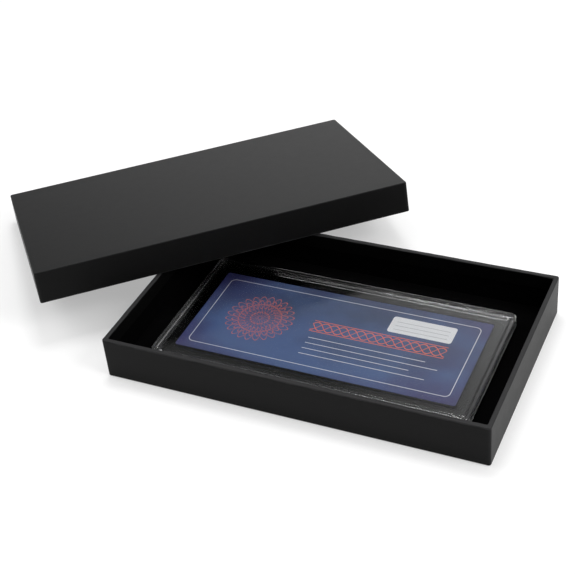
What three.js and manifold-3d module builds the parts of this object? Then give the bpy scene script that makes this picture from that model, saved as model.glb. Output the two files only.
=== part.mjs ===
// A flat gift box for a clear note holder: a board tray covered in black paper, a lid of the
// same make that leans askew on two of the tray's rims, and the clear two-piece holder lying
// in the tray with its printed card. Millimetres, +Z up. The origin is the centre of the
// tray's underside, +X runs along the tray and +Y to its back.

import * as THREE from "three";
import { mergeVertices } from "three/addons/utils/BufferGeometryUtils.js";
import Module from "manifold-3d";

// The card's pocket, which the holder, the tray and the lid are sized round
const pocketLength = 158.75;
const pocketWidth = 68.26;
const pocketCornerRadius = 1.6;

// The printed card in the pocket
const cardThickness = 0.35;
const cardClearance = 0.3;
const cardLift = 0.05;
const cardHeadroom = 0.15;

// The clear holder
const holderEndMargin = 9.525;
const holderSideMargin = 10.32;
const holderCornerRadius = 3.2;
const holderEdgeRadius = 0.45;
const rimWidth = 2.8;
const rimDraft = 0.35;
const windowRecess = 0.6;
const windowThickness = 2.3;
const partingGap = 0.1;
const beadWidth = 1;
const postInset = 3.8;
const socketDiameter = 4.6;
const socketFloor = 0.8;
const pinDiameter = 2.6;
const pinClearance = 0.15;
const pinLeadIn = 0.3;

// Room round the holder in the tray, and the heights of the tray and the lid
const endRoom = 14.33;
const sideRoom = 15.78;
const trayHeight = 24.3;
const lidDepth = 18.2;
const lidClearance = 0.4;

// Sheets, and the film of glue between each two of them
const paperThickness = 0.16;
const boardThickness = 1.8;
const liningThickness = 0.12;
const stayThickness = 0.12;
const glueGap = 0.04;

// Folds and corners of the covered board
const cornerRadius = 1.2;
const insideCornerRadius = 0.7;
const creaseRadius = 0.15;
const edgeRadius = 0.6;
const rimRadius = 0.5;
const scoreBevel = 0.5;
const seamWidth = 0.15;
const stayLeg = 11;
const turnIn = 8.6;
const turnUnder = 14;
const baseSheetInset = 2.5;
const baseSheetCornerRadius = 2;
const liningDrop = 1.2;

// How the loose pieces lie: the holder in the tray, the lid on the tray's left and back rims
const restGap = 0.3;
const holderOffsetY = -1;
const lidYaw = THREE.MathUtils.degToRad(41.6);
const lidCrossingShare = 0.507;
const lidOverhangShare = 0.314;

// Facets of a quarter turn, and how far a cutter runs past what it cuts
const cornerSteps = 5;
const foldSteps = 3;
const roundSides = 24;
const overrun = 1;

// Heights in a half of the holder that stands on its outer face
const pocketDepth = cardLift + cardThickness + cardHeadroom;
const holderThickness = 2 * (windowRecess + windowThickness) + pocketDepth;
const halfThickness = (holderThickness - partingGap) / 2;
const windowInner = windowRecess + windowThickness;
const beadTop = windowInner + pocketDepth - partingGap;
const socketFoot = windowRecess + socketFloor;
const pinTip = holderThickness - socketFoot - partingGap;

// Depth of each layer of a wall below its outer face
const stayOuter = paperThickness + glueGap;
const stayInner = stayOuter + stayThickness;
const boardOuter = stayInner + glueGap;
const boardInner = boardOuter + boardThickness;
const liningOuter = boardInner + glueGap;
const liningInner = liningOuter + liningThickness;
const turnInOuter = liningInner + glueGap;
const wallThickness = turnInOuter + paperThickness;

// Outside lengths and widths
const holderLength = pocketLength + 2 * holderEndMargin;
const holderWidth = pocketWidth + 2 * holderSideMargin;
const trayLength = holderLength + 2 * (endRoom + wallThickness);
const trayWidth = holderWidth + 2 * (sideRoom + wallThickness);
const lidLength = trayLength + 2 * (lidClearance + wallThickness);
const lidWidth = trayWidth + 2 * (lidClearance + wallThickness);

const quarterTurn = Math.PI / 2;

// The corners of a rectangle, anticlockwise from above
const cornerSigns = [
  [1, 1],
  [-1, 1],
  [-1, -1],
  [1, -1],
];

function sheetMaterial(color, roughness) {
  return new THREE.MeshStandardMaterial({ color, roughness, metalness: 0 });
}

const materials = {
  wrapPaper: sheetMaterial(0x232324, 0.6),
  liningPaper: sheetMaterial(0x0c0c0d, 0.95),
  greyboard: sheetMaterial(0x8a857c, 0.9),
  kraftTape: sheetMaterial(0xa5855c, 0.8),
  cardPrint: sheetMaterial(0x49608c, 0.5),
  clearPlastic: new THREE.MeshStandardMaterial({
    color: 0xdfe4e6,
    roughness: 0.08,
    metalness: 0,
    transparent: true,
    opacity: 0.3,
  }),
};

const wasm = await Module();
wasm.setup();

// A closed geometry as a solid that can be joined and cut
function toSolid(geometry) {
  const bare = geometry.clone();
  bare.deleteAttribute("normal");
  bare.deleteAttribute("uv");
  const merged = mergeVertices(bare);
  const mesh = new wasm.Mesh({
    numProp: 3,
    vertProperties: new Float32Array(merged.attributes.position.array),
    triVerts: new Uint32Array(merged.index.array),
  });
  return new wasm.Manifold(mesh);
}

function fromSolid(solid) {
  const mesh = solid.getMesh();
  const geometry = new THREE.BufferGeometry();
  geometry.setAttribute("position", new THREE.BufferAttribute(mesh.vertProperties, 3));
  geometry.setIndex(new THREE.BufferAttribute(mesh.triVerts, 1));
  return geometry.toNonIndexed();
}

// The points round a rectangle with rounded corners, anticlockwise from above
function roundedRing(halfLength, halfWidth, radius, z) {
  const points = [];
  cornerSigns.forEach(([signX, signY], corner) => {
    for (let step = 0; step <= cornerSteps; step += 1) {
      const angle = quarterTurn * (corner + step / cornerSteps);
      points.push(
        new THREE.Vector3(
          signX * (halfLength - radius) + radius * Math.cos(angle),
          signY * (halfWidth - radius) + radius * Math.sin(angle),
          z,
        ),
      );
    }
  });
  return points;
}

// Six times the volume that the triangles close in, negative where they face inwards
function signedVolume(points, triangles) {
  let sum = 0;
  for (let i = 0; i < triangles.length; i += 3) {
    const a = points[triangles[i]];
    const b = points[triangles[i + 1]];
    const c = points[triangles[i + 2]];
    sum += a.dot(b.clone().cross(c));
  }
  return sum;
}

function closedGeometry(points, triangles) {
  const facesIn = signedVolume(points, triangles) < 0;
  const positions = [];
  for (let i = 0; i < triangles.length; i += 3) {
    const order = facesIn ? [i, i + 2, i + 1] : [i, i + 1, i + 2];
    order.forEach((k) => positions.push(...points[triangles[k]].toArray()));
  }
  const geometry = new THREE.BufferGeometry();
  geometry.setAttribute("position", new THREE.Float32BufferAttribute(positions, 3));
  geometry.computeVertexNormals();
  return geometry;
}

// A skin through a list of rings. An open list is closed by a flat face at each end, and a
// looped list runs back to its first ring, which leaves a frame.
function loftRings(rings, looped) {
  const points = rings.flat();
  const count = rings[0].length;
  const triangles = [];
  const spans = looped ? rings.length : rings.length - 1;
  for (let ring = 0; ring < spans; ring += 1) {
    const here = ring * count;
    const there = ((ring + 1) % rings.length) * count;
    for (let i = 0; i < count; i += 1) {
      const next = (i + 1) % count;
      triangles.push(here + i, here + next, there + next);
      triangles.push(here + i, there + next, there + i);
    }
  }
  if (!looped) {
    const last = (rings.length - 1) * count;
    const firstCentre = points.push(new THREE.Vector3(0, 0, rings[0][0].z)) - 1;
    const lastCentre = points.push(new THREE.Vector3(0, 0, rings[rings.length - 1][0].z)) - 1;
    for (let i = 0; i < count; i += 1) {
      const next = (i + 1) % count;
      triangles.push(firstCentre, next, i);
      triangles.push(lastCentre, last + i, last + next);
    }
  }
  return closedGeometry(points, triangles);
}

// Points of a quarter fold in a wall's section: depth below the outer face, and height.
// Angle 0 faces outwards and a quarter turn faces up.
function fold(centreDepth, centreHeight, radius, fromAngle, toAngle) {
  const points = [];
  for (let step = 0; step <= foldSteps; step += 1) {
    const angle = fromAngle + ((toAngle - fromAngle) * step) / foldSteps;
    points.push([
      centreDepth - radius * Math.cos(angle),
      centreHeight + radius * Math.sin(angle),
    ]);
  }
  return points;
}

// A wall's section carried round a rounded rectangle
function sectionGeometry(length, width, radiusAt, section, looped) {
  const rings = section.map(([depth, height]) =>
    roundedRing(length / 2 - depth, width / 2 - depth, radiusAt(depth), height),
  );
  return loftRings(rings, looped);
}

function roundedRectangleShape(length, width, radius) {
  const shape = new THREE.Shape();
  const x = length / 2 - radius;
  const y = width / 2 - radius;
  shape.moveTo(x + radius, -y);
  shape.absarc(x, y, radius, 0, quarterTurn);
  shape.absarc(-x, y, radius, quarterTurn, 2 * quarterTurn);
  shape.absarc(-x, -y, radius, 2 * quarterTurn, 3 * quarterTurn);
  shape.absarc(x, -y, radius, 3 * quarterTurn, 4 * quarterTurn);
  return shape;
}

// The plan radius of a covered wall's corner at a depth below its outer face. It shrinks
// with the depth in the layers outside and inside the board, and passes from one to the
// other in the board's own thickness.
function wallRadius(depth) {
  const share = THREE.MathUtils.clamp((depth - boardOuter) / boardThickness, 0, 1);
  const outside = cornerRadius - Math.min(depth, boardOuter);
  const inside = insideCornerRadius - Math.max(depth - boardInner, 0);
  return Math.max(THREE.MathUtils.lerp(outside, inside, share), creaseRadius);
}

// Heights of the layers of a covered half, from the outer face of its closed panel
function layerHeights(height, underSheet) {
  const wrapOuter = underSheet;
  const wrapInner = wrapOuter + paperThickness;
  const boardBottom = wrapOuter + boardOuter;
  const boardTop = boardBottom + boardThickness;
  const liningBottom = boardTop + glueGap;
  return {
    wrapOuter,
    wrapInner,
    boardBottom,
    boardTop,
    liningBottom,
    floor: liningBottom + liningThickness,
    boardRim: height - paperThickness - glueGap,
    rim: height,
  };
}

// One blank of board, scored and folded up: the long walls run through, the short ones butt
// against them with a seam in each corner, and the scores open a bevel along the folds.
function boardGeometry(length, width, heights) {
  const section = [
    [boardOuter + scoreBevel, heights.boardBottom],
    [boardOuter, heights.boardBottom + scoreBevel],
    [boardOuter, heights.boardRim],
    [boardInner, heights.boardRim],
    [boardInner, heights.boardTop],
  ];
  let solid = toSolid(sectionGeometry(length, width, wallRadius, section, false));
  const seamHeight = heights.boardRim - heights.boardTop + overrun;
  const seam = new THREE.BoxGeometry(boardThickness + 2 * overrun, seamWidth, seamHeight);
  for (const [signX, signY] of cornerSigns) {
    const cutter = seam
      .clone()
      .translate(
        signX * (length / 2 - boardOuter - boardThickness / 2),
        signY * (width / 2 - boardInner - seamWidth / 2),
        heights.boardTop + seamHeight / 2,
      );
    solid = solid.subtract(toSolid(cutter));
  }
  return fromSolid(solid);
}

// The paper over a half's walls. Over a closed panel it is one sheet, and round an open one
// it is a band whose edge turns under. At the rim it turns in.
function wrapGeometry(length, width, heights, closed) {
  const bottomFoldHeight = heights.wrapOuter + edgeRadius;
  const rimFoldHeight = heights.rim - rimRadius;
  const inFoldDepth = wallThickness - rimRadius;
  const outside = [
    ...fold(edgeRadius, bottomFoldHeight, edgeRadius, -quarterTurn, 0),
    ...fold(rimRadius, rimFoldHeight, rimRadius, 0, quarterTurn),
    ...fold(inFoldDepth, rimFoldHeight, rimRadius, quarterTurn, 2 * quarterTurn),
    [wallThickness, heights.rim - turnIn],
  ];
  const innerRim = rimRadius - paperThickness;
  const inside = [
    [turnInOuter, heights.rim - turnIn],
    ...fold(inFoldDepth, rimFoldHeight, innerRim, 2 * quarterTurn, quarterTurn),
    ...fold(rimRadius, rimFoldHeight, innerRim, quarterTurn, 0),
    ...fold(edgeRadius, bottomFoldHeight, edgeRadius - paperThickness, 0, -quarterTurn),
  ];
  const section = closed
    ? [...outside, ...inside]
    : [
        [turnUnder, heights.wrapOuter],
        ...outside,
        ...inside,
        [turnUnder, heights.wrapInner],
      ];
  return sectionGeometry(length, width, wallRadius, section, !closed);
}

// The sheet that lines the floor and the walls, up to a little below the rim
function liningGeometry(length, width, heights) {
  const top = heights.rim - liningDrop;
  const section = [
    [liningOuter, heights.liningBottom],
    [liningOuter, top],
    [liningInner, top],
    [liningInner, heights.floor],
  ];
  return sectionGeometry(length, width, wallRadius, section, false);
}

// A strip of tape folded round one corner of the board, from score to rim
function stayGeometry(height) {
  const outerRadius = cornerRadius - stayOuter;
  const innerRadius = cornerRadius - stayInner;
  const shape = new THREE.Shape();
  shape.moveTo(outerRadius, -stayLeg);
  shape.absarc(0, 0, outerRadius, 0, quarterTurn);
  shape.lineTo(-stayLeg, outerRadius);
  shape.lineTo(-stayLeg, innerRadius);
  shape.absarc(0, 0, innerRadius, quarterTurn, 0, true);
  shape.lineTo(innerRadius, -stayLeg);
  return new THREE.ExtrudeGeometry(shape, {
    depth: height,
    bevelEnabled: false,
    curveSegments: cornerSteps,
  });
}

function namedMesh(name, geometry, material) {
  const mesh = new THREE.Mesh(geometry, material);
  mesh.name = name;
  return mesh;
}

function addStays(group, prefix, length, width, heights) {
  const bottom = heights.wrapOuter + edgeRadius;
  const geometry = stayGeometry(heights.rim - rimRadius - bottom);
  cornerSigns.forEach(([signX, signY], corner) => {
    const stay = namedMesh(`${prefix}_corner_stay_${corner + 1}`, geometry, materials.kraftTape);
    stay.position.set(
      signX * (length / 2 - cornerRadius),
      signY * (width / 2 - cornerRadius),
      bottom,
    );
    stay.rotation.z = corner * quarterTurn;
    group.add(stay);
  });
}

// A covered half, standing on the outer face of its closed panel with its walls up
function coveredHalf(prefix, length, width, heights, closed) {
  const group = new THREE.Group();
  group.add(
    namedMesh(`${prefix}_board`, boardGeometry(length, width, heights), materials.greyboard),
    namedMesh(`${prefix}_wrap`, wrapGeometry(length, width, heights, closed), materials.wrapPaper),
    namedMesh(`${prefix}_lining`, liningGeometry(length, width, heights), materials.liningPaper),
  );
  addStays(group, prefix, length, width, heights);
  return group;
}

// A flat sheet with rounded corners, lying on the plane z = 0
function sheetGeometry(length, width, radius, thickness) {
  return new THREE.ExtrudeGeometry(roundedRectangleShape(length, width, radius), {
    depth: thickness,
    bevelEnabled: false,
    curveSegments: cornerSteps,
  });
}

// The sheet on the tray's underside, which hides the turned-under edge of the band
function baseSheetGeometry() {
  return sheetGeometry(
    trayLength - 2 * baseSheetInset,
    trayWidth - 2 * baseSheetInset,
    baseSheetCornerRadius,
    paperThickness,
  );
}

// A moulded half of the holder, standing on its outer face: a window, a raised rim on both
// of its faces, drafted on the inside and rounded on the outside
function holderHalfGeometry() {
  const section = [
    [rimWidth + rimDraft, windowRecess],
    [rimWidth, 0],
    ...fold(holderEdgeRadius, holderEdgeRadius, holderEdgeRadius, -quarterTurn, 0),
    [0, halfThickness],
    [rimWidth, halfThickness],
    [rimWidth + rimDraft, windowInner],
  ];
  const radiusAt = (depth) => Math.max(holderCornerRadius - depth, rimDraft);
  return sectionGeometry(holderLength, holderWidth, radiusAt, section, false);
}

// A round form with its axis up, from a profile of radii and heights that ends on the axis
function turned(profile) {
  const points = profile.map(([radius, height]) => new THREE.Vector2(radius, height));
  return new THREE.LatheGeometry(points, roundSides).rotateX(quarterTurn);
}

function cylinder(diameter, foot, top) {
  return turned([
    [0, foot],
    [diameter / 2, foot],
    [diameter / 2, top],
    [0, top],
  ]);
}

function postPlaces() {
  return cornerSigns.map(([signX, signY]) => [
    signX * (holderLength / 2 - postInset),
    signY * (holderWidth / 2 - postInset),
  ]);
}

// The lower half: a bead round the card's pocket and a socket in each corner
function holderBaseGeometry() {
  const beadFoot = (windowRecess + windowInner) / 2;
  const beadSection = [
    [-beadWidth, beadFoot],
    [-beadWidth, (windowInner + beadTop) / 2],
    [-beadWidth / 2, beadTop],
    [0, beadTop],
    [0, beadFoot],
  ];
  const beadRadius = (depth) => pocketCornerRadius - depth;
  const bead = sectionGeometry(pocketLength, pocketWidth, beadRadius, beadSection, true);
  const boss = cylinder(socketDiameter, windowRecess, halfThickness);
  const bore = cylinder(pinDiameter + 2 * pinClearance, socketFoot, halfThickness + overrun);
  let solid = toSolid(holderHalfGeometry()).add(toSolid(bead));
  for (const [x, y] of postPlaces()) {
    solid = solid.add(toSolid(boss.clone().translate(x, y, 0)));
    solid = solid.subtract(toSolid(bore.clone().translate(x, y, 0)));
  }
  return fromSolid(solid);
}

// The upper half, standing on its outer face like the lower one: a pin in each corner
function holderCoverGeometry() {
  const pin = turned([
    [0, socketFoot],
    [pinDiameter / 2, socketFoot],
    [pinDiameter / 2, pinTip - pinLeadIn],
    [pinDiameter / 2 - pinLeadIn, pinTip],
    [0, pinTip],
  ]);
  let solid = toSolid(holderHalfGeometry());
  for (const [x, y] of postPlaces()) {
    solid = solid.add(toSolid(pin.clone().translate(x, y, 0)));
  }
  return fromSolid(solid);
}

function holderGroup() {
  const group = new THREE.Group();
  const base = namedMesh("slab_base", holderBaseGeometry(), materials.clearPlastic);
  const cover = namedMesh("slab_cover", holderCoverGeometry(), materials.clearPlastic);
  cover.rotation.x = 2 * quarterTurn;
  cover.position.z = holderThickness;
  const card = namedMesh(
    "insert_card",
    sheetGeometry(
      pocketLength - 2 * cardClearance,
      pocketWidth - 2 * cardClearance,
      pocketCornerRadius - cardClearance,
      cardThickness,
    ),
    materials.cardPrint,
  );
  card.position.z = windowInner + cardLift;
  group.add(base, cover, card);
  return group;
}

// The lid stands on the inner edge of its near wall, which crosses the tray's left and back
// rims, and on the outer edge of its far wall, which is down on the table
function placeLid(lid) {
  const lean = Math.asin(trayHeight / (lidWidth - wallThickness));
  lid.rotation.x = 2 * quarterTurn;
  lid.position.set(
    lidLength / 2 - lidOverhangShare * lidLength,
    lidWidth / 2 - wallThickness,
    lidDepth,
  );
  const leaning = new THREE.Group();
  leaning.rotation.x = -lean;
  leaning.add(lid);
  const askew = new THREE.Group();
  askew.position.set(
    (wallThickness - trayLength) / 2,
    (lidCrossingShare - 1 / 2) * trayWidth,
    trayHeight + restGap,
  );
  askew.rotation.z = lidYaw;
  askew.add(leaning);
  return askew;
}

const trayHeights = layerHeights(trayHeight, paperThickness + glueGap);
const lidHeights = layerHeights(lidDepth, 0);

const tray = coveredHalf("tray", trayLength, trayWidth, trayHeights, false);
tray.add(namedMesh("tray_base_sheet", baseSheetGeometry(), materials.wrapPaper));

const lid = coveredHalf("lid", lidLength, lidWidth, lidHeights, true);

const holder = holderGroup();
holder.position.set(0, holderOffsetY, trayHeights.floor + restGap);

const giftBox = new THREE.Group();
giftBox.add(tray, placeLid(lid), holder);

export default giftBox;
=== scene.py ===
# The looks of a flat gift box: a tray and a lid of board covered in black paper, and the clear
# note holder that lies in the tray with its printed card. Metres, in the frame of the CAD part.

import functools
import math

import bmesh
import bpy
from bpy.props import FloatProperty, FloatVectorProperty, PointerProperty
from mathutils import Euler, Matrix, Vector


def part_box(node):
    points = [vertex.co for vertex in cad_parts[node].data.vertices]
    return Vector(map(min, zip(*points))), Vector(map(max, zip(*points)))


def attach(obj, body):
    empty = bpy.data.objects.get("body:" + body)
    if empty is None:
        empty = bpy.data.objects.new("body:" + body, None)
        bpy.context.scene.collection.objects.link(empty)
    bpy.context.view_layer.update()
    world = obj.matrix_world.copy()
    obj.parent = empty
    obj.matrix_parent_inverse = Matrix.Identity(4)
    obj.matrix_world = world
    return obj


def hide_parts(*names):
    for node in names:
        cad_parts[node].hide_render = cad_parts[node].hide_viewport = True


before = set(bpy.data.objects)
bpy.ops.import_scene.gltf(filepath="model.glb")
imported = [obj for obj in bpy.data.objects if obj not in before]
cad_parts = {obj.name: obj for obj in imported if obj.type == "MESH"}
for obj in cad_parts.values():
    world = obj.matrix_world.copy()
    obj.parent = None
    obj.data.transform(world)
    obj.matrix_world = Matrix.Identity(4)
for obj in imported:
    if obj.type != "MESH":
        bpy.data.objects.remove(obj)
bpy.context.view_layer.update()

bl_info = {
    "name": "Gift box for a note holder",
    "version": (1, 0, 0),
    "blender": (4, 5, 0),
    "location": "View3D > Sidebar > Gift box",
    "description": "Covers, holder, printed card and studio of a flat gift box",
    "category": "Object",
}

IMAGE_SIDE = 575  # pixels
SENSOR_WIDTH = 36.0  # millimetres
SMOOTH_UNDER = math.radians(30)  # gentler folds shade smooth
POST_SIDES = 40
WAVE_CUTS = (90, 54)  # of the walls' edges, along X and along Y
WAVE_LEVEL = 0.3  # share of the wave texture that leaves the paper where it is
SAME_HEIGHT = 1e-6  # metres apart, and still level
SAME_PLACE = 1e-5  # metres apart, and still on the outline
LONG_EDGE = 0.05  # metres, which no edge of a rounded corner has

tray_low, tray_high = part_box("tray_wrap")
base_low, base_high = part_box("slab_base")
card_low, card_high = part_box("insert_card")
cover_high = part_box("slab_cover")[1]


def length(name, description, default):
    return FloatProperty(
        name=name, description=description, default=default, unit="LENGTH", precision=5
    )


def angle(name, description, degrees):
    return FloatProperty(
        name=name, description=description, default=math.radians(degrees), unit="ROTATION"
    )


def colour(name, description, default):
    return FloatVectorProperty(
        name=name, description=description, default=default, subtype="COLOR", min=0, max=1
    )


def number(name, description, default):
    return FloatProperty(name=name, description=description, default=default)


def position(name, description, default):
    return FloatVectorProperty(
        name=name, description=description, default=default, subtype="TRANSLATION"
    )


class BoxSizes(bpy.types.PropertyGroup):
    """Sizes of the covered tray and lid"""

    tray_length: length("Tray length", "Outside, along X", tray_high.x - tray_low.x)
    tray_width: length("Tray width", "Outside, along Y", tray_high.y - tray_low.y)
    tray_bottom: length("Tray bottom", "Height of the turned-under paper", tray_low.z)
    tray_rim: length("Tray rim", "Height of the rim", tray_high.z)
    wall: length("Wall", "Thickness of a covered wall", 0.00252)
    clearance: length("Clearance", "Between the tray and the lid on each side", 0.0004)
    lid_depth: length("Lid depth", "Outside height of the lid", 0.0182)
    paper: length("Paper", "Thickness of the covering paper", 0.00016)
    corner_radius: length("Corner radius", "Upright corners, outside", 0.0012)
    edge_radius: length("Edge radius", "Fold round the closed panel", 0.0006)
    rim_radius: length("Rim radius", "Fold over the rim", 0.0005)
    turn_in: length("Turn-in", "Paper that goes down inside the wall", 0.0086)
    turn_under: length("Turn-under", "Paper that goes under the tray", 0.014)
    rim_wave: length("Rim wave", "How far the paper on the tray's rim waves", 0.00035)
    lid_wave: length("Lid wave", "How far the paper on the lid's rim waves", 0.000105)
    wave_size: length("Wave size", "Size of one wave", 0.007)
    lid_yaw: angle("Lid yaw", "How far the lid is turned on the tray", 41.6)
    lid_crossing: number("Lid crossing", "Share of the tray's width", 0.507)
    lid_overhang: number("Lid overhang", "Share of the lid's length", 0.314)
    rest_gap: length("Rest gap", "Between the lid and the rims that carry it", 0.0003)


class HolderSizes(bpy.types.PropertyGroup):
    """Sizes of the two clear halves and the card"""

    half_height: length("Half height", "Outer face to the rim's top", 0.003125)
    rim_width: length("Rim width", "Raised rim of a half", 0.0028)
    rim_draft: length("Rim draft", "How far the rim's inner side leans", 0.00035)
    window_recess: length("Window recess", "Window below the rim", 0.0006)
    window: length("Window", "Thickness of a window", 0.0023)
    corner_radius: length("Corner radius", "Upright corners", 0.0032)
    edge_radius: length("Edge radius", "Outer edges", 0.00045)
    soft_edge: length("Soft edge", "Moulded inner edges", 0.00025)
    pocket_length: length("Pocket length", "Room for the card along X", 0.15875)
    pocket_width: length("Pocket width", "Room for the card along Y", 0.06826)
    pocket_radius: length("Pocket radius", "Corners of the card's pocket", 0.0016)
    bead_width: length("Bead width", "Bead round the pocket", 0.001)
    bead_height: length("Bead height", "Bead above the window", 0.00045)
    post_inset: length("Post inset", "Posts from each side", 0.0038)
    socket_radius: length("Socket radius", "Boss round a socket", 0.0023)
    bore_radius: length("Bore radius", "Bore of a socket", 0.00145)
    pin_radius: length("Pin radius", "Pin of the upper half", 0.0013)
    pin_length: length("Pin length", "Pin above the window", 0.00195)
    pin_bevel: length("Pin bevel", "Lead-in at the tip of a pin", 0.0003)
    socket_foot: length("Socket foot", "Floor of a bore from the outer face", 0.0014)
    post_foot: length("Post foot", "How deep a boss or a pin stands in its window", 0.001)
    card_radius: length("Card radius", "Corners of the card", 0.0013)
    card_edge: length("Card edge", "Rounding of the card's edges", 0.00005)


class Colours(bpy.types.PropertyGroup):
    """Colours of the paper, board, plastic and print"""

    paper: colour("Paper", "Black covering paper", (0.006, 0.006, 0.0061))
    # Worn paper at the folds, and also the colour of the painted highlight along the rim
    paper_wear_and_highlight: colour("Worn paper and rim highlight", "Paper where a fold rubs, and painted highlight along the rim", (0.032, 0.032, 0.033))
    # The same paper as outside, darkened as painted shade for the inside of the walls
    paper_inside_shade: colour("Inside paper in painted shade", "Paper turned in over the rim, darkened as painted shade", (0.0005, 0.0005, 0.0005))
    lining: colour("Lining", "Dead black lining paper", (0.001, 0.001, 0.0011))
    greyboard: colour("Greyboard", "Board under the paper", (0.25, 0.235, 0.2))
    fleck: colour("Fleck", "Flecks in the board", (0.06, 0.07, 0.1))
    tape: colour("Tape", "Corner tape", (0.36, 0.24, 0.12))
    plastic: colour("Plastic", "Clear holder", (0.985, 0.99, 0.995))
    print_blue: colour("Print blue", "Near half of the card", (0.052, 0.113, 0.285))
    # A darker copy of the print blue: painted shade on the far half, and the dark of the mottle
    print_blue_shade_and_mottle: colour("Print blue in shade and mottle", "Painted shade on the far half, and the print's mottle", (0.027, 0.056, 0.14))
    print_violet: colour("Print violet", "Edges of the card", (0.035, 0.035, 0.15))
    print_red: colour("Print red", "Ornament", (0.9, 0.17, 0.06))
    print_white: colour("Print white", "Rules and label", (0.86, 0.87, 0.88))
    print_grey: colour("Print grey", "Lines on the label", (0.2, 0.2, 0.22))
    print_haze: colour("Print haze", "Pale grain of the print", (0.5, 0.55, 0.6))


class Studio(bpy.types.PropertyGroup):
    """Camera, floor and lights"""

    camera_place: position("Camera place", "Where the camera stands", (0.230507, -0.493976, 0.4457))
    camera_turn: FloatVectorProperty(
        name="Camera turn",
        description="Which way the camera looks",
        default=tuple(math.radians(a) for a in (53.23002, 4.74392, 23.84056)),
        subtype="EULER",
    )
    focal_pixels: number("Focal length", "In pixels of the picture", 1299.1)
    floor_side: length("Floor side", "Side of the square floor", 8.0)
    floor_drop: length("Floor drop", "Table below the tray's underside", 0.0001)
    floor_colour: colour("Floor colour", "White table", (1.0, 1.0, 1.0))
    floor_grain: colour("Floor grain", "Grain of the table", (0.97, 0.97, 0.97))
    floor_glow: number("Floor glow", "Share of plain white in the seen floor", 0.4)
    lit_radius: length("Lit radius", "Past it the floor turns to plain white", 0.5)
    sky_low: number("Dark part", "Sky on the left", 0.12)
    sky_high: number("Bright part", "Sky at the back", 1.75)
    ceiling: number("Ceiling", "Ring of light overhead", 1.15)
    right_lamp: position("Right lamp", "Where it hangs", (1.05, -0.1, 0.92))
    right_side: length("Right lamp's side", "Side of its square", 0.6)
    right_watts: number("Right lamp's power", "Watts", 9.5)
    back_lamp: position("Back lamp", "Where it hangs", (-0.17, 0.4, 1.33))
    back_side: length("Back lamp's side", "Side of its square", 0.4)
    back_watts: number("Back lamp's power", "Watts", 6.0)
    left_lamp: position("Left lamp", "Where it hangs", (-1.05, -0.05, 0.92))
    left_side: length("Left lamp's side", "Side of its square", 0.7)
    left_watts: number("Left lamp's power", "Watts", 4.5)


class Value:
    """A number, colour or vector in a shader, with arithmetic that adds Math nodes"""

    def __init__(self, nodes, socket):
        self.nodes = nodes
        self.socket = socket

    def maths(self, operation, *numbers, clamp=False):
        inputs = dict(enumerate(numbers))
        return self.nodes.node("ShaderNodeMath", inputs, operation=operation, use_clamp=clamp)

    def __add__(self, other):
        return self.maths("ADD", self, other)

    def __radd__(self, other):
        return self.maths("ADD", other, self)

    def __sub__(self, other):
        return self.maths("SUBTRACT", self, other)

    def __rsub__(self, other):
        return self.maths("SUBTRACT", other, self)

    def __mul__(self, other):
        return self.maths("MULTIPLY", self, other)

    def __rmul__(self, other):
        return self.maths("MULTIPLY", other, self)

    def __truediv__(self, other):
        return self.maths("DIVIDE", self, other)

    def __rtruediv__(self, other):
        return self.maths("DIVIDE", other, self)

    def __abs__(self):
        return self.maths("ABSOLUTE", self)

    def sine(self):
        return self.maths("SINE", self)

    def root(self):
        return self.maths("SQRT", self)

    def turn_from(self, other):
        return self.maths("ARCTAN2", self, other)

    def least(self, other):
        return self.maths("MINIMUM", self, other)

    def most(self, other):
        return self.maths("MAXIMUM", self, other)

    def held(self):
        return self.maths("ADD", self, 0.0, clamp=True)

    def below(self, limit, soft):
        """1 where the value is under the limit, with a soft edge"""
        return ((limit - self) / soft + 0.5).held()

    def rising(self, start, span):
        """0 up to the start, and 1 from a span past it"""
        return ((self - start) / span).held()


class Nodes:
    """The nodes of one material or of the world"""

    def __init__(self, owner, end):
        owner.use_nodes = True
        self.tree = owner.node_tree
        self.tree.nodes.clear()
        self.end = self.tree.nodes.new(end)

    def node(self, kind, inputs, *outputs, **settings):
        """A node of a kind, its settings, its sockets' values or links, and its outputs"""
        node = self.tree.nodes.new(kind)
        for name, setting in settings.items():
            setattr(node, name, setting)
        for socket, value in inputs.items():
            if isinstance(value, Value):
                self.tree.links.new(value.socket, node.inputs[socket])
            else:
                node.inputs[socket].default_value = value
        values = [Value(self, node.outputs[output]) for output in outputs or (0,)]
        return values[0] if len(values) == 1 else values

    def show(self, surface):
        self.tree.links.new(surface.socket, self.end.inputs["Surface"])

    def parts(self, point):
        """X, Y and Z of a point"""
        return self.node("ShaderNodeSeparateXYZ", {0: point}, 0, 1, 2)


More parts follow.
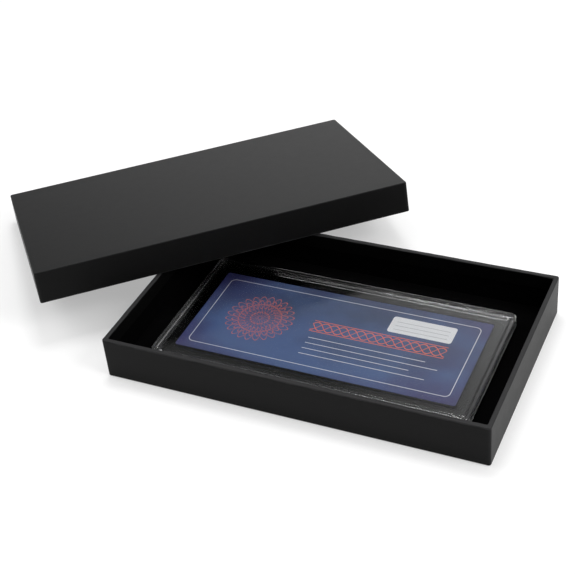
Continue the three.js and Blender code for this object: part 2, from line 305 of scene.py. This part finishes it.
class Finish(Nodes):
    """A node material of one piece"""

    def __init__(self, name):
        self.material = bpy.data.materials.new(name)
        super().__init__(self.material, "ShaderNodeOutputMaterial")

    def place(self, back=None):
        """The point on the piece, brought back by a matrix where the piece stands askew"""
        point = self.node("ShaderNodeTexCoord", {}, "Object")
        if back is None:
            return point
        turn = back.to_euler("XYZ")
        inputs = {"Vector": point, "Location": back.translation, "Rotation": turn}
        return self.node("ShaderNodeMapping", inputs, vector_type="POINT")

    def stretched(self, point, scales):
        return self.node("ShaderNodeMapping", {"Vector": point, "Scale": scales})

    def noise(self, point, scale, detail=2.0, roughness=0.5):
        inputs = {"Vector": point, "Scale": scale, "Detail": detail, "Roughness": roughness}
        return self.node("ShaderNodeTexNoise", inputs, "Fac")

    def mixed(self, share, first, second):
        """The first colour where the share is 0 and the second where it is 1"""
        inputs = {0: share, 6: opaque(first), 7: opaque(second)}
        return self.node("ShaderNodeMix", inputs, 2, data_type="RGBA")

    def bumped(self, height, distance, strength):
        inputs = {"Height": height, "Distance": distance, "Strength": strength}
        return self.node("ShaderNodeBump", inputs, "Normal")

    def shaded(self, **inputs):
        """The surface, with its sockets named in words joined by underscores"""
        named = {name.replace("_", " "): value for name, value in inputs.items()}
        self.show(self.node("ShaderNodeBsdfPrincipled", named))
        return self.material

    def glowing(self, tone, share):
        """A plain diffuse surface that is partly white to whatever looks at it"""
        rays = ("Is Camera Ray", "Is Glossy Ray", "Is Transmission Ray")
        camera, glossy, through = self.node("ShaderNodeLightPath", {}, *rays)
        matt = self.node("ShaderNodeBsdfDiffuse", {"Color": tone})
        white = self.node("ShaderNodeEmission", {"Strength": 1.0})
        seen = camera.most(glossy).most(through)
        self.show(self.node("ShaderNodeMixShader", {0: seen * share, 1: matt, 2: white}))
        return self.material


def opaque(value):
    return value if isinstance(value, Value) else (*value, 1.0)


def shade(tone, share):
    """A darker or paler kind of a colour"""
    return [part * share for part in tone]


def millimetres(value):
    return value * 1000


def deselect():
    if bpy.context.mode != "OBJECT":
        bpy.ops.object.mode_set(mode="OBJECT")
    bpy.ops.object.select_all(action="DESELECT")


def pick(piece):
    deselect()
    piece.select_set(True)
    bpy.context.view_layer.objects.active = piece


def add_block(name, low, high):
    """A block between two corners, as the start of a piece"""
    deselect()
    low, high = Vector(low), Vector(high)
    bpy.ops.mesh.primitive_cube_add(size=1, location=(low + high) / 2, scale=high - low)
    block = bpy.context.object
    block.name = block.data.name = name
    bpy.ops.object.transform_apply(location=True, rotation=True, scale=True)
    return block


def add_post(name, radius, foot, top, middle):
    """An upright cylinder, as the start of a boss, a bore or a pin"""
    deselect()
    bpy.ops.mesh.primitive_cylinder_add(
        vertices=POST_SIDES,
        radius=radius,
        depth=top - foot,
        location=(*middle, (foot + top) / 2),
    )
    post = bpy.context.object
    post.name = name
    bpy.ops.object.transform_apply(location=True, rotation=True, scale=True)
    # The ends get their full precision back: a face a hair off a flush one spoils their join
    for vertex in post.data.vertices:
        vertex.co.z = top if vertex.co.z > (foot + top) / 2 else foot
    return post


class Shaping:
    """Edit mode on one piece, whose faces and edges are chosen by their place"""

    def __init__(self, piece):
        self.piece = piece

    def __enter__(self):
        pick(self.piece)
        bpy.ops.object.mode_set(mode="EDIT")
        return self

    def __exit__(self, *trouble):
        bpy.ops.object.mode_set(mode="OBJECT")

    def choose(self, kind, test):
        bpy.ops.mesh.select_mode(type=kind)
        bpy.ops.mesh.select_all(action="DESELECT")
        mesh = bmesh.from_edit_mesh(self.piece.data)
        chosen = [item for item in (mesh.faces if kind == "FACE" else mesh.edges) if test(item)]
        if not chosen:
            raise RuntimeError(f"nothing to shape on {self.piece.name}")
        for item in chosen:
            item.select_set(True)
        bmesh.update_edit_mesh(self.piece.data)

    def faces(self, test):
        self.choose("FACE", test)

    def edges(self, test):
        self.choose("EDGE", test)

    def bevel(self, offset, segments):
        bpy.ops.mesh.bevel(offset=offset, segments=segments, affect="EDGES", clamp_overlap=False)

    def inset(self, thickness, depth=0.0):
        bpy.ops.mesh.inset(thickness=thickness, depth=depth, use_even_offset=True)

    def draw(self, rise, shares=(1, 1)):
        """Extrudes the chosen edges up or down, or drawn in to a share of their size"""
        bpy.ops.mesh.extrude_edges_move(TRANSFORM_OT_translate={"value": (0, 0, rise)})
        bpy.ops.transform.resize(value=(*shares, 1), center_override=(0, 0, 0))

    def turn_outwards(self):
        bpy.ops.mesh.select_all(action="SELECT")
        bpy.ops.mesh.normals_make_consistent(inside=False)


def upright(edge):
    first, second = (vertex.co for vertex in edge.verts)
    return abs(first.z - second.z) > 0.9 * (first - second).length


def level_at(edge, *heights):
    """Whether an edge lies at one of some heights"""
    return any(
        all(abs(vertex.co.z - height) < SAME_HEIGHT for vertex in edge.verts)
        for height in heights
    )


def runs_along(edge, axis):
    """Whether a long edge runs along X, axis 0, or along Y, axis 1"""
    run = edge.verts[1].co - edge.verts[0].co
    return abs(run[axis]) > LONG_EDGE and abs(run[1 - axis]) < SAME_HEIGHT


def faces_up(face):
    return face.normal.z > 0.99


def faces_down(face):
    return face.normal.z < -0.99


def faces_level(face):
    return faces_up(face) or faces_down(face)


class Outline:
    """The rectangle round a piece that is made centred on the origin"""

    def __init__(self, length, width):
        self.half_length = length / 2
        self.half_width = width / 2

    def block(self, name, foot, top):
        low = (-self.half_length, -self.half_width, foot)
        return add_block(name, low, (self.half_length, self.half_width, top))

    def shares(self, inset):
        """Shares of the length and the width that are left inside an inset"""
        length, width = self.half_length - inset, self.half_width - inset
        return length / self.half_length, width / self.half_width

    def depth(self, point):
        """How far a point lies inside the outline"""
        return min(self.half_length - abs(point.x), self.half_width - abs(point.y))

    def holds(self, edge, over=-math.inf, under=math.inf):
        """Whether both ends of an edge lie between two depths"""
        return all(over < self.depth(vertex.co) < under for vertex in edge.verts)

    def ring(self, *heights, over=-math.inf, under=math.inf):
        """A test for the edges at some heights that lie between two depths"""
        return lambda edge: level_at(edge, *heights) and self.holds(edge, over, under)


def apply_modifier(piece, name, kind, **settings):
    pick(piece)
    modifier = piece.modifiers.new(name, kind)
    for setting, value in settings.items():
        setattr(modifier, setting, value)
    bpy.ops.object.modifier_apply(modifier=modifier.name)


def smooth(piece):
    """Rounds shade smooth and flats stay flat"""
    pick(piece)
    bpy.ops.object.shade_smooth_by_angle(angle=SMOOTH_UNDER)
    apply_modifier(piece, "Even shading", "WEIGHTED_NORMAL", keep_sharp=True, weight=100)


def combine(piece, other, operation):
    apply_modifier(piece, "Join", "BOOLEAN", object=other, operation=operation, solver="EXACT")
    bpy.data.objects.remove(other)


def settle(piece, matrix):
    """Puts a piece in its place in the frame, with its object at the origin"""
    pick(piece)
    piece.matrix_world = matrix
    bpy.ops.object.transform_apply(location=True, rotation=True, scale=True)


def finish_piece(piece, material, body, node):
    piece.data.materials.clear()
    piece.data.materials.append(material)
    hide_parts(node)
    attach(piece, body)


def lid_size(box):
    """Length and width of the lid, outside"""
    extra = 2 * (box.clearance + box.wall)
    return box.tray_length + extra, box.tray_width + extra


def lid_matrix(box):
    """From the lid on its closed panel, walls up, to the lid askew on the tray's rims"""
    lid_length, lid_width = lid_size(box)
    lean = math.asin(box.tray_rim / (lid_width - box.wall))
    centre = Vector(
        (
            lid_length / 2 - box.lid_overhang * lid_length,
            lid_width / 2 - box.wall,
            box.lid_depth,
        )
    )
    crossing = Vector(
        (
            (box.wall - box.tray_length) / 2,
            (box.lid_crossing - 0.5) * box.tray_width,
            box.tray_rim + box.rest_gap,
        )
    )
    return (
        Matrix.Translation(crossing)
        @ Matrix.Rotation(box.lid_yaw, 4, "Z")
        @ Matrix.Rotation(-lean, 4, "X")
        @ Matrix.Translation(centre)
        @ Matrix.Rotation(math.pi, 4, "X")
    )


def fold_cover(name, box, outline, bottom, rim, closed):
    """The paper over a half's walls: a band folded over the rim and round the panel's edge"""
    cover = outline.block(name, bottom, rim)
    with Shaping(cover) as shape:
        shape.faces(faces_level)
        bpy.ops.mesh.delete(type="ONLY_FACE")
        shape.edges(upright)
        shape.bevel(box.corner_radius, segments=8)
        shape.edges(lambda edge: level_at(edge, rim))
        shape.draw(0, outline.shares(box.wall))
        shape.draw(-box.turn_in)
        shape.edges(lambda edge: level_at(edge, bottom))
        shape.draw(0, outline.shares(box.turn_under))
        if closed:
            bpy.ops.mesh.edge_face_add()
        shape.edges(outline.ring(rim, under=box.wall / 2))
        shape.bevel(box.rim_radius, segments=5)
        shape.edges(outline.ring(rim, over=box.wall * 0.9))
        shape.bevel(box.rim_radius, segments=5)
        shape.edges(outline.ring(bottom, under=box.wall / 2))
        shape.bevel(box.edge_radius, segments=5)
        for axis, cuts in enumerate(WAVE_CUTS):
            shape.edges(lambda edge: runs_along(edge, axis))
            bpy.ops.mesh.subdivide(number_cuts=cuts)
        shape.turn_outwards()
    wave_rim(cover, box, rim, box.lid_wave if closed else box.rim_wave)
    apply_modifier(cover, "Paper", "SOLIDIFY", thickness=box.paper, offset=-1.0)
    smooth(cover)
    return cover


def wave_rim(cover, box, rim, height):
    """Lets the paper on the rim wave a little, as glued paper does"""
    group = cover.vertex_groups.new(name="Rim")
    reach = 2 * box.rim_radius
    for vertex in cover.data.vertices:
        below = rim - vertex.co.z
        if below < reach:
            group.add([vertex.index], 1 - below / reach, "REPLACE")
    texture = bpy.data.textures.new(f"{cover.name} wave", "CLOUDS")
    texture.noise_scale = box.wave_size
    texture.noise_depth = 1
    apply_modifier(
        cover,
        "Wave",
        "DISPLACE",
        texture=texture,
        direction="Z",
        strength=height,
        mid_level=WAVE_LEVEL,
        vertex_group="Rim",
    )


def paper_finish(name, box, tones, outline, heights, back=None):
    """Black covering paper: fine fibre, a faint cloudiness, rubbed folds, a painted highlight along
    the rim, painted shade on the turned-in paper inside the walls, and fine seams, which are
    placed in millimetres from the outline and under the rim"""
    finish = Finish(name)
    point = finish.place(back)
    x, y, z = (millimetres(part) for part in finish.parts(point))
    low, high = (millimetres(height) for height in heights)
    wall, turn_in = millimetres(box.wall), millimetres(box.turn_in)
    inset_x = millimetres(outline.half_length) - abs(x)
    inset_y = millimetres(outline.half_width) - abs(y)
    inset, under_rim = inset_x.least(inset_y), high - z
    fibre = finish.noise(point, scale=5200, detail=3.0, roughness=0.65)
    cloud = finish.noise(point, scale=160, detail=3.0, roughness=0.6)
    specks = finish.noise(point, scale=2600, detail=2.0, roughness=0.7)
    wave = finish.noise(point, scale=95, detail=2.0, roughness=0.6)
    corner = inset_x.most(inset_y).below(1.4, soft=1.6)
    over_rim = under_rim.below(0.35, soft=0.5)
    round_panel = abs(z - low).below(0.3, soft=0.5) * inset.below(0.4, soft=0.5)
    folds = corner.most(over_rim).most(round_panel) * (specks * 1.6 - 0.6).held()
    # A wavy pale band along the rim's top: a painted highlight where the rounded rim catches the
    # light
    rim_painted_highlight = (under_rim - wave * 1.6 + 0.3).below(0.0, soft=0.5) * 0.85
    # The turned-in paper inside the walls: darkened nearly to black as painted shade in the hollow,
    # and made rougher
    inner = (1 - inset.below(wall - 0.22, soft=0.1)) * under_rim.below(turn_in + 0.4, soft=0.2)
    tone = finish.mixed(cloud * 0.35, tones.paper, shade(tones.paper, 1.6))
    tone = finish.mixed(inner, tone, tones.paper_inside_shade)
    tone = finish.mixed(folds.most(rim_painted_highlight), tone, tones.paper_wear_and_highlight)
    mitre = abs(inset_x - inset_y).below(0.09, soft=0.12) * inset_x.below(wall + 0.18, soft=0.1)
    mitre = mitre * under_rim.below(turn_in - 0.2, soft=0.2)
    overlap = inset_x.below(1.0, soft=0.1) * abs(inset_y - 1.3).below(0.08, soft=0.12)
    height = fibre * 0.5 + cloud * 0.6 - mitre.most(overlap) * 1.3
    return finish.shaded(
        Base_Color=tone,
        Roughness=0.34 + cloud * 0.06 + fibre * 0.06 + inner * 0.45,
        Specular_IOR_Level=0.08,
        Normal=finish.bumped(height, distance=0.000015, strength=0.8),
    )


def lining_finish(tones):
    """Dead black uncoated paper"""
    finish = Finish("lining paper finish")
    point = finish.place()
    fibre = finish.noise(point, scale=3000, detail=4.0, roughness=0.7)
    cloud = finish.noise(point, scale=90, detail=3.0, roughness=0.5)
    return finish.shaded(
        Base_Color=finish.mixed(cloud * 0.5 + fibre * 0.3, tones.lining, shade(tones.lining, 2)),
        Roughness=0.9 + fibre * 0.08,
        Specular_IOR_Level=0.015,
        Normal=finish.bumped(fibre, distance=0.00006, strength=0.7),
    )


def board_finish(tones):
    """Grey board of pulped paper, with flecks"""
    finish = Finish("greyboard finish")
    point = finish.place()
    pulp = finish.noise(point, scale=700, detail=5.0, roughness=0.65)
    flecks = finish.noise(finish.stretched(point, (1, 3, 1)), scale=1500)
    tone = finish.mixed(pulp, shade(tones.greyboard, 0.7), shade(tones.greyboard, 1.25))
    return finish.shaded(
        Base_Color=finish.mixed((flecks * 4 - 2.5).held() * 0.6, tone, tones.fleck),
        Roughness=0.85 + pulp * 0.1,
        Normal=finish.bumped(pulp, distance=0.0001, strength=0.7),
    )


def tape_finish(tones):
    """Kraft tape with its long fibres"""
    finish = Finish("kraft tape finish")
    point = finish.stretched(finish.place(), (1, 1, 0.2))
    fibre = finish.noise(point, scale=2600, detail=3.0, roughness=0.6)
    return finish.shaded(
        Base_Color=finish.mixed(fibre, shade(tones.tape, 0.75), shade(tones.tape, 1.2)),
        Roughness=0.6 + fibre * 0.2,
        Normal=finish.bumped(fibre, distance=0.00005, strength=0.6),
    )


def plastic_finish(tones, outline, centre_x):
    """Clear moulded plastic with softer ends, faint flow marks, smears and hairlines"""
    finish = Finish("clear plastic finish")
    point = finish.place()
    x = millimetres(finish.parts(point)[0])
    inset_x = millimetres(outline.half_length) - abs(x - millimetres(centre_x))
    end = inset_x.below(0.06, soft=0.05)
    flow = finish.noise(finish.stretched(point, (0.5, 1, 1)), scale=55, roughness=0.4)
    smear = finish.noise(point, scale=140, detail=3.0, roughness=0.6)
    scratches = finish.noise(finish.stretched(point, (0.08, 2.2, 1)), scale=900, detail=1.0)
    hairline = abs(scratches - 0.5).below(0.006, soft=0.01)
    return finish.shaded(
        Base_Color=opaque(tones.plastic),
        Roughness=0.02 + (smear * 2 - 0.9).held() * 0.04 + hairline * 0.06 + end * 0.2,
        IOR=1.49,
        Transmission_Weight=1.0,
        Normal=finish.bumped(flow, distance=0.00002, strength=0.05),
    )


def strongest(inks):
    """How much ink lies at a point where some lines are printed over each other"""
    return functools.reduce(Value.most, inks)


def between(value, low, high, soft):
    """1 where a value lies between two others, with soft ends"""
    return abs(value - (low + high) / 2).below((high - low) / 2, soft)


def rosette(x, y, centre, petals, radii, swing, width):
    """Lines that weave round a circle"""
    across, up = x - centre[0], y - centre[1]
    reach = (across * across + up * up).root()
    turn = up.turn_from(across)
    lines = []
    for index, radius in enumerate(radii):
        for side in (0.0, math.pi):
            wave = (turn * petals + side + 0.6 * index).sine() * swing
            lines.append(abs(reach - radius - wave).below(width, soft=0.22))
    return strongest(lines)


def braid(x, y, ends, middle, swing, pitch, width):
    """A band of three waves that cross each other between two straight lines"""
    edge_gap, edge_width = 1.1, 0.22
    lines = [abs(abs(y - middle) - swing - edge_gap).below(edge_width, soft=0.16)]
    for index in range(3):
        wave = (x * (2 * math.pi / pitch) + index * math.pi * 2 / 3).sine() * swing
        lines.append(abs(y - middle - wave).below(width, soft=0.2))
    return strongest(lines) * between(x, *ends, soft=0.2)


def rule(x, y, ends, middle, width):
    """A straight line along the card"""
    return between(x, *ends, soft=0.16) * abs(y - middle).below(width / 2, soft=0.16)


def outside_of(x, y, centre, size, radius):
    """How far a point lies outside a rounded rectangle"""
    out_x = (abs(x - centre[0]) - (size[0] / 2 - radius)).most(0.0)
    out_y = (abs(y - centre[1]) - (size[1] / 2 - radius)).most(0.0)
    return (out_x * out_x + out_y * out_y).root() - radius


def print_ground(finish, point, x, y, tones):
    """Mottled blue, darker towards the far side as painted shade, and violet towards the corners"""
    mottle = finish.noise(finish.stretched(point, (1, 1.6, 1)), scale=26, detail=3.0) - 0.5
    along, up = x / 92, y / 44
    reach = (along * along + up * up).root()
    # Darker towards the far side: painted shade, mixed with the print's own mottle
    deep = (0.35 + y / 60 + mottle * 2.5).held()
    violet = ((reach - 0.66) * 2.2 + mottle * 1.8).held()
    ground = finish.mixed(deep, tones.print_blue, tones.print_blue_shade_and_mottle)
    return finish.mixed(violet, ground, tones.print_violet)


def print_ornament(x, y):
    """A rosette on the left and a braid to its right"""
    centre = (-44, 0.5)
    petals = rosette(x, y, centre, petals=12, radii=(8.5, 12.0, 15.5), swing=3.6, width=0.2)
    heart = rosette(x, y, centre, petals=8, radii=(3.2,), swing=2.2, width=0.2)
    band = braid(x, y, ends=(-14, 62), middle=3.5, swing=3.4, pitch=15.2, width=0.32)
    return strongest((petals, heart, band))


def print_rules(x, y):
    """A thin frame round the card and four rules of unlike lengths under the braid"""
    frame_line = outside_of(x, y, centre=(0, 0), size=(148, 57.5), radius=3.0)
    lines = [abs(frame_line).below(0.2, soft=0.14)]
    for right, middle in ((54, -6.5), (62, -11.0), (48, -15.5), (58, -20.0)):
        lines.append(rule(x, y, (-12, right), middle, width=0.42))
    return strongest(lines)


def print_finish(tones, centre):
    """A plain printed card, in millimetres from its middle"""
    finish = Finish("printed card finish")
    point = finish.place(Matrix.Translation(-Vector((*centre, 0.0))))
    x, y = (millimetres(part) for part in finish.parts(point)[:2])
    grain = finish.noise(point, scale=1800)
    red, white = print_ornament(x, y), print_rules(x, y)
    label = outside_of(x, y, centre=(44, 18.0), size=(36, 13.5), radius=1.6)
    label_lines = [rule(x, y, (29, 59), middle, width=0.3) for middle in (20.6, 17.4, 14.2)]
    label_tone = finish.mixed(strongest(label_lines) * 0.7, tones.print_white, tones.print_grey)
    tone = finish.mixed(red, print_ground(finish, point, x, y, tones), tones.print_red)
    tone = finish.mixed(white, tone, tones.print_white)
    tone = finish.mixed(label.below(0.0, soft=0.12), tone, label_tone)
    tone = finish.mixed((grain - 0.45).held() * 0.25, tone, tones.print_haze)
    return finish.shaded(
        Base_Color=tone,
        Roughness=0.34 + grain * 0.12,
        Normal=finish.bumped(grain - white * 0.3 - red * 0.3, distance=0.00002, strength=0.6),
    )


def window_face(holder):
    """Height of a window's inner face over the half's outer face"""
    return holder.window_recess + holder.window


def mould_half(name, holder, outline):
    """A clear half on its outer face: a window between raised rims"""
    top = holder.half_height
    half = outline.block(name, 0, top)
    with Shaping(half) as shape:
        shape.edges(upright)
        shape.bevel(holder.corner_radius, segments=12)
        shape.faces(faces_down)
        shape.inset(holder.rim_width)
        shape.inset(holder.rim_draft, -holder.window_recess)
        shape.faces(faces_up)
        shape.inset(holder.rim_width)
        shape.inset(holder.rim_draft, window_face(holder) - top)
        shape.edges(outline.ring(0, top, over=holder.rim_width * 0.9))
        shape.bevel(holder.soft_edge, segments=3)
        shape.edges(outline.ring(0, under=holder.rim_width / 2))
        shape.bevel(holder.edge_radius, segments=5)
        shape.edges(outline.ring(top, under=holder.rim_width / 2))
        shape.bevel(holder.soft_edge / 4, segments=1)
    return half


def pocket_bead(holder):
    """The low frame round the card, joined to the lower window"""
    extra = 2 * holder.bead_width
    outline = Outline(holder.pocket_length + extra, holder.pocket_width + extra)
    face = window_face(holder)
    bead = outline.block("bead", face - holder.window / 3, face + holder.bead_height)
    inner = holder.bead_width * 0.9
    with Shaping(bead) as shape:
        shape.faces(faces_level)
        shape.inset(holder.bead_width)
        bpy.ops.mesh.delete(type="ONLY_FACE")
        shape.edges(lambda edge: not upright(edge) and outline.holds(edge, over=inner))
        bpy.ops.mesh.bridge_edge_loops()
        shape.edges(lambda edge: upright(edge) and outline.holds(edge, under=SAME_PLACE))
        shape.bevel(holder.pocket_radius + holder.bead_width, segments=8)
        shape.edges(lambda edge: upright(edge) and outline.holds(edge, over=inner))
        shape.bevel(holder.pocket_radius, segments=8)
        shape.turn_outwards()
    return bead


def post_places(holder, outline):
    """The middles of the four posts, round the holder"""
    x = outline.half_length - holder.post_inset
    y = outline.half_width - holder.post_inset
    return [(x, y), (-x, y), (-x, -y), (x, -y)]


def mould_lower_half(holder, outline):
    """The half with the bead round the card and a bored boss in each corner"""
    half = mould_half("holder_lower_half", holder, outline)
    combine(half, pocket_bead(holder), "UNION")
    foot, top = window_face(holder) - holder.post_foot, holder.half_height
    for middle in post_places(holder, outline):
        boss = add_post("boss", holder.socket_radius, foot, top, middle)
        combine(half, boss, "UNION")
        bore = add_post("bore", holder.bore_radius, holder.socket_foot, 2 * top, middle)
        combine(half, bore, "DIFFERENCE")
    return half


def mould_upper_half(holder, outline):
    """The half with a pin in each corner, made with its outer face down"""
    half = mould_half("holder_upper_half", holder, outline)
    face = window_face(holder)
    foot, tip = face - holder.post_foot, face + holder.pin_length
    for middle in post_places(holder, outline):
        pin = add_post("pin", holder.pin_radius, foot, tip, middle)
        with Shaping(pin) as shape:
            shape.edges(lambda edge: level_at(edge, tip))
            shape.bevel(holder.pin_bevel, segments=3)
        combine(half, pin, "UNION")
    return half


class GIFTBOX_OT_cover_tray(bpy.types.Operator):
    """Folds the black paper round the tray"""

    bl_idname = "giftbox.cover_tray"
    bl_label = "Cover the tray"

    def execute(self, context):
        box, tones = context.scene.box_sizes, context.scene.box_colours
        outline = Outline(box.tray_length, box.tray_width)
        heights = (box.tray_bottom, box.tray_rim)
        cover = fold_cover("tray_cover_paper", box, outline, *heights, closed=False)
        finish = paper_finish("tray paper finish", box, tones, outline, heights)
        finish_piece(cover, finish, "tray", "tray_wrap")
        return {"FINISHED"}


class GIFTBOX_OT_cover_lid(bpy.types.Operator):
    """Folds the black paper over the lid and lays the lid on the tray"""

    bl_idname = "giftbox.cover_lid"
    bl_label = "Cover the lid"

    def execute(self, context):
        box, tones = context.scene.box_sizes, context.scene.box_colours
        outline = Outline(*lid_size(box))
        heights = (0.0, box.lid_depth)
        cover = fold_cover("lid_cover_paper", box, outline, *heights, closed=True)
        askew = lid_matrix(box)
        settle(cover, askew)
        back = askew.inverted()
        finish = paper_finish("lid paper finish", box, tones, outline, heights, back)
        finish_piece(cover, finish, "lid", "lid_wrap")
        return {"FINISHED"}


class GIFTBOX_OT_mould_holder(bpy.types.Operator):
    """Moulds the two clear halves of the note holder"""

    bl_idname = "giftbox.mould_holder"
    bl_label = "Mould the holder"

    def execute(self, context):
        holder, tones = context.scene.holder_sizes, context.scene.box_colours
        outline = Outline(base_high.x - base_low.x, base_high.y - base_low.y)
        centre = (base_low + base_high) / 2
        lower = mould_lower_half(holder, outline)
        settle(lower, Matrix.Translation((centre.x, centre.y, base_low.z)))
        upper = mould_upper_half(holder, outline)
        over = Matrix.Translation((centre.x, centre.y, cover_high.z))
        settle(upper, over @ Matrix.Rotation(math.pi, 4, "X"))
        finish = plastic_finish(tones, outline, centre.x)
        for half, body, node in ((lower, "holder", "slab_base"), (upper, "cover", "slab_cover")):
            smooth(half)
            finish_piece(half, finish, body, node)
        return {"FINISHED"}


class GIFTBOX_OT_print_card(bpy.types.Operator):
    """Cuts the card and prints it"""

    bl_idname = "giftbox.print_card"
    bl_label = "Print the card"

    def execute(self, context):
        holder, tones = context.scene.holder_sizes, context.scene.box_colours
        card = add_block("printed_card", card_low, card_high)
        with Shaping(card) as shape:
            shape.edges(upright)
            shape.bevel(holder.card_radius, segments=6)
            shape.edges(lambda edge: not upright(edge))
            shape.bevel(holder.card_edge, segments=2)
        smooth(card)
        middle = (card_low + card_high) / 2
        finish = print_finish(tones, (middle.x, middle.y))
        finish_piece(card, finish, "card", "insert_card")
        return {"FINISHED"}


class GIFTBOX_OT_finish_boards(bpy.types.Operator):
    """Gives the linings, boards, tape and base sheet of the CAD part their materials"""

    bl_idname = "giftbox.finish_boards"
    bl_label = "Finish the boards"

    def execute(self, context):
        box, tones = context.scene.box_sizes, context.scene.box_colours
        outline = Outline(box.tray_length, box.tray_width)
        no_folds = (-1.0, 1.0)  # a flat sheet has no rim and no panel's edge near it
        finishes = {
            "lining": lining_finish(tones),
            "board": board_finish(tones),
            "stay": tape_finish(tones),
            "sheet": paper_finish("base sheet finish", box, tones, outline, no_folds),
        }
        for name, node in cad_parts.items():
            for word, finish in finishes.items():
                if word in name:
                    node.data.materials.clear()
                    node.data.materials.append(finish)
        return {"FINISHED"}


class GIFTBOX_OT_set_stage(bpy.types.Operator):
    """Sets up the white table, the lamps and the camera"""

    bl_idname = "giftbox.set_stage"
    bl_label = "Set the stage"

    def execute(self, context):
        scene, studio = context.scene, context.scene.studio
        lay_table(studio)
        lay_sky(scene, studio)
        hang_lamp("Right lamp", studio.right_lamp, studio.right_side, studio.right_watts)
        hang_lamp("Back lamp", studio.back_lamp, studio.back_side, studio.back_watts)
        hang_lamp("Left lamp", studio.left_lamp, studio.left_side, studio.left_watts)
        stand_camera(scene, studio)
        scene.view_settings.view_transform = "Standard"
        return {"FINISHED"}


def table_finish(studio):
    """White, with a faint grain, and plain white far from the box"""
    finish = Finish("white table finish")
    point = finish.place()
    x, y, _ = finish.parts(point)
    grain = finish.noise(point, scale=40)
    tone = finish.mixed(grain * 0.02, studio.floor_colour, studio.floor_grain)
    far = (x * x + y * y).root().rising(studio.lit_radius, span=studio.lit_radius)
    return finish.glowing(tone, studio.floor_glow + far * (1 - studio.floor_glow))


def lay_table(studio):
    """The white table under the box"""
    deselect()
    bpy.ops.mesh.primitive_plane_add(size=studio.floor_side, location=(0, 0, -studio.floor_drop))
    table = bpy.context.object
    table.name = "white_table"
    bpy.ops.object.transform_apply(location=True, rotation=True, scale=True)
    table.data.materials.append(table_finish(studio))


def lay_sky(scene, studio):
    """A room with one bright side and a ring of ceiling light, white where it is looked at"""
    scene.world = bpy.data.worlds.new("Studio")
    sky = Nodes(scene.world, "ShaderNodeOutputWorld")
    across, away, up = sky.parts(sky.node("ShaderNodeTexCoord", {}, "Generated"))
    # The bright side stands at the back, from a slanting line on the left, and fades to the
    # right and upwards
    slant = (up - 0.62) * 0.72 - 0.24
    bright = (across - slant).rising(-0.12, span=0.24) * away.rising(-0.1, span=0.3)
    bright = bright * (1 - across.rising(0.02, span=0.32) * 0.9)
    bright = bright * (1 - up.rising(0.35, span=0.45) * 0.85)
    # The near left corner is darker than the rest
    corner = (1 - away.rising(-0.4, span=0.2)) * (1 - across.rising(-0.35, span=0.2))
    dark = studio.sky_low * (1 - corner * 0.85)
    # The ceiling is bright round a dark middle
    ceiling = up.rising(0.78, span=0.1) * (1 - up.rising(0.965, span=0.02)) * studio.ceiling
    room = dark + bright * (studio.sky_high - studio.sky_low) + ceiling
    seen = sky.node("ShaderNodeLightPath", {}, "Is Camera Ray")
    white = {"Color": (1.0, 1.0, 1.0, 1.0), "Strength": room + (1 - room) * seen}
    sky.show(sky.node("ShaderNodeBackground", white))


def hang_lamp(name, place, side, watts):
    """A square lamp that faces the middle of the table"""
    lamp = bpy.data.lights.new(name, "AREA")
    lamp.shape = "SQUARE"
    lamp.size = side
    lamp.energy = watts
    stand = bpy.data.objects.new(name, lamp)
    stand.location = place
    stand.rotation_euler = Vector(place).to_track_quat("Z", "Y").to_euler()
    bpy.context.scene.collection.objects.link(stand)


def stand_camera(scene, studio):
    """The camera, where the photograph was taken from"""
    camera = bpy.data.cameras.new("Camera")
    camera.sensor_width = SENSOR_WIDTH
    camera.lens = studio.focal_pixels / IMAGE_SIDE * SENSOR_WIDTH
    camera.clip_start = 0.01
    stand = bpy.data.objects.new("Camera", camera)
    stand.location = studio.camera_place
    stand.rotation_euler = Euler(studio.camera_turn, "XYZ")
    scene.collection.objects.link(stand)
    scene.camera = stand


class GIFTBOX_PT_steps(bpy.types.Panel):
    """The steps that make the gift box"""

    bl_label = "Gift box"
    bl_idname = "GIFTBOX_PT_steps"
    bl_space_type = "VIEW_3D"
    bl_region_type = "UI"
    bl_category = "Gift box"

    def draw(self, context):
        scene = context.scene
        for group in (scene.box_sizes, scene.holder_sizes, scene.box_colours, scene.studio):
            column = self.layout.box().column()
            for name in group.__annotations__:
                column.prop(group, name)
        for step in STEPS:
            self.layout.operator(step.bl_idname)


STEPS = (
    GIFTBOX_OT_cover_tray,
    GIFTBOX_OT_cover_lid,
    GIFTBOX_OT_mould_holder,
    GIFTBOX_OT_print_card,
    GIFTBOX_OT_finish_boards,
    GIFTBOX_OT_set_stage,
)
GROUPS = {
    "box_sizes": BoxSizes,
    "holder_sizes": HolderSizes,
    "box_colours": Colours,
    "studio": Studio,
}


def register():
    for group in GROUPS.values():
        bpy.utils.register_class(group)
    for name, group in GROUPS.items():
        setattr(bpy.types.Scene, name, PointerProperty(type=group))
    for step in STEPS:
        bpy.utils.register_class(step)
    bpy.utils.register_class(GIFTBOX_PT_steps)


def unregister():
    bpy.utils.unregister_class(GIFTBOX_PT_steps)
    for step in reversed(STEPS):
        bpy.utils.unregister_class(step)
    for name in GROUPS:
        delattr(bpy.types.Scene, name)
    for group in reversed(GROUPS.values()):
        bpy.utils.unregister_class(group)


def main():
    register()
    bpy.ops.giftbox.cover_tray()
    bpy.ops.giftbox.cover_lid()
    bpy.ops.giftbox.mould_holder()
    bpy.ops.giftbox.print_card()
    bpy.ops.giftbox.finish_boards()
    bpy.ops.giftbox.set_stage()


if __name__ == "__main__":
    main()
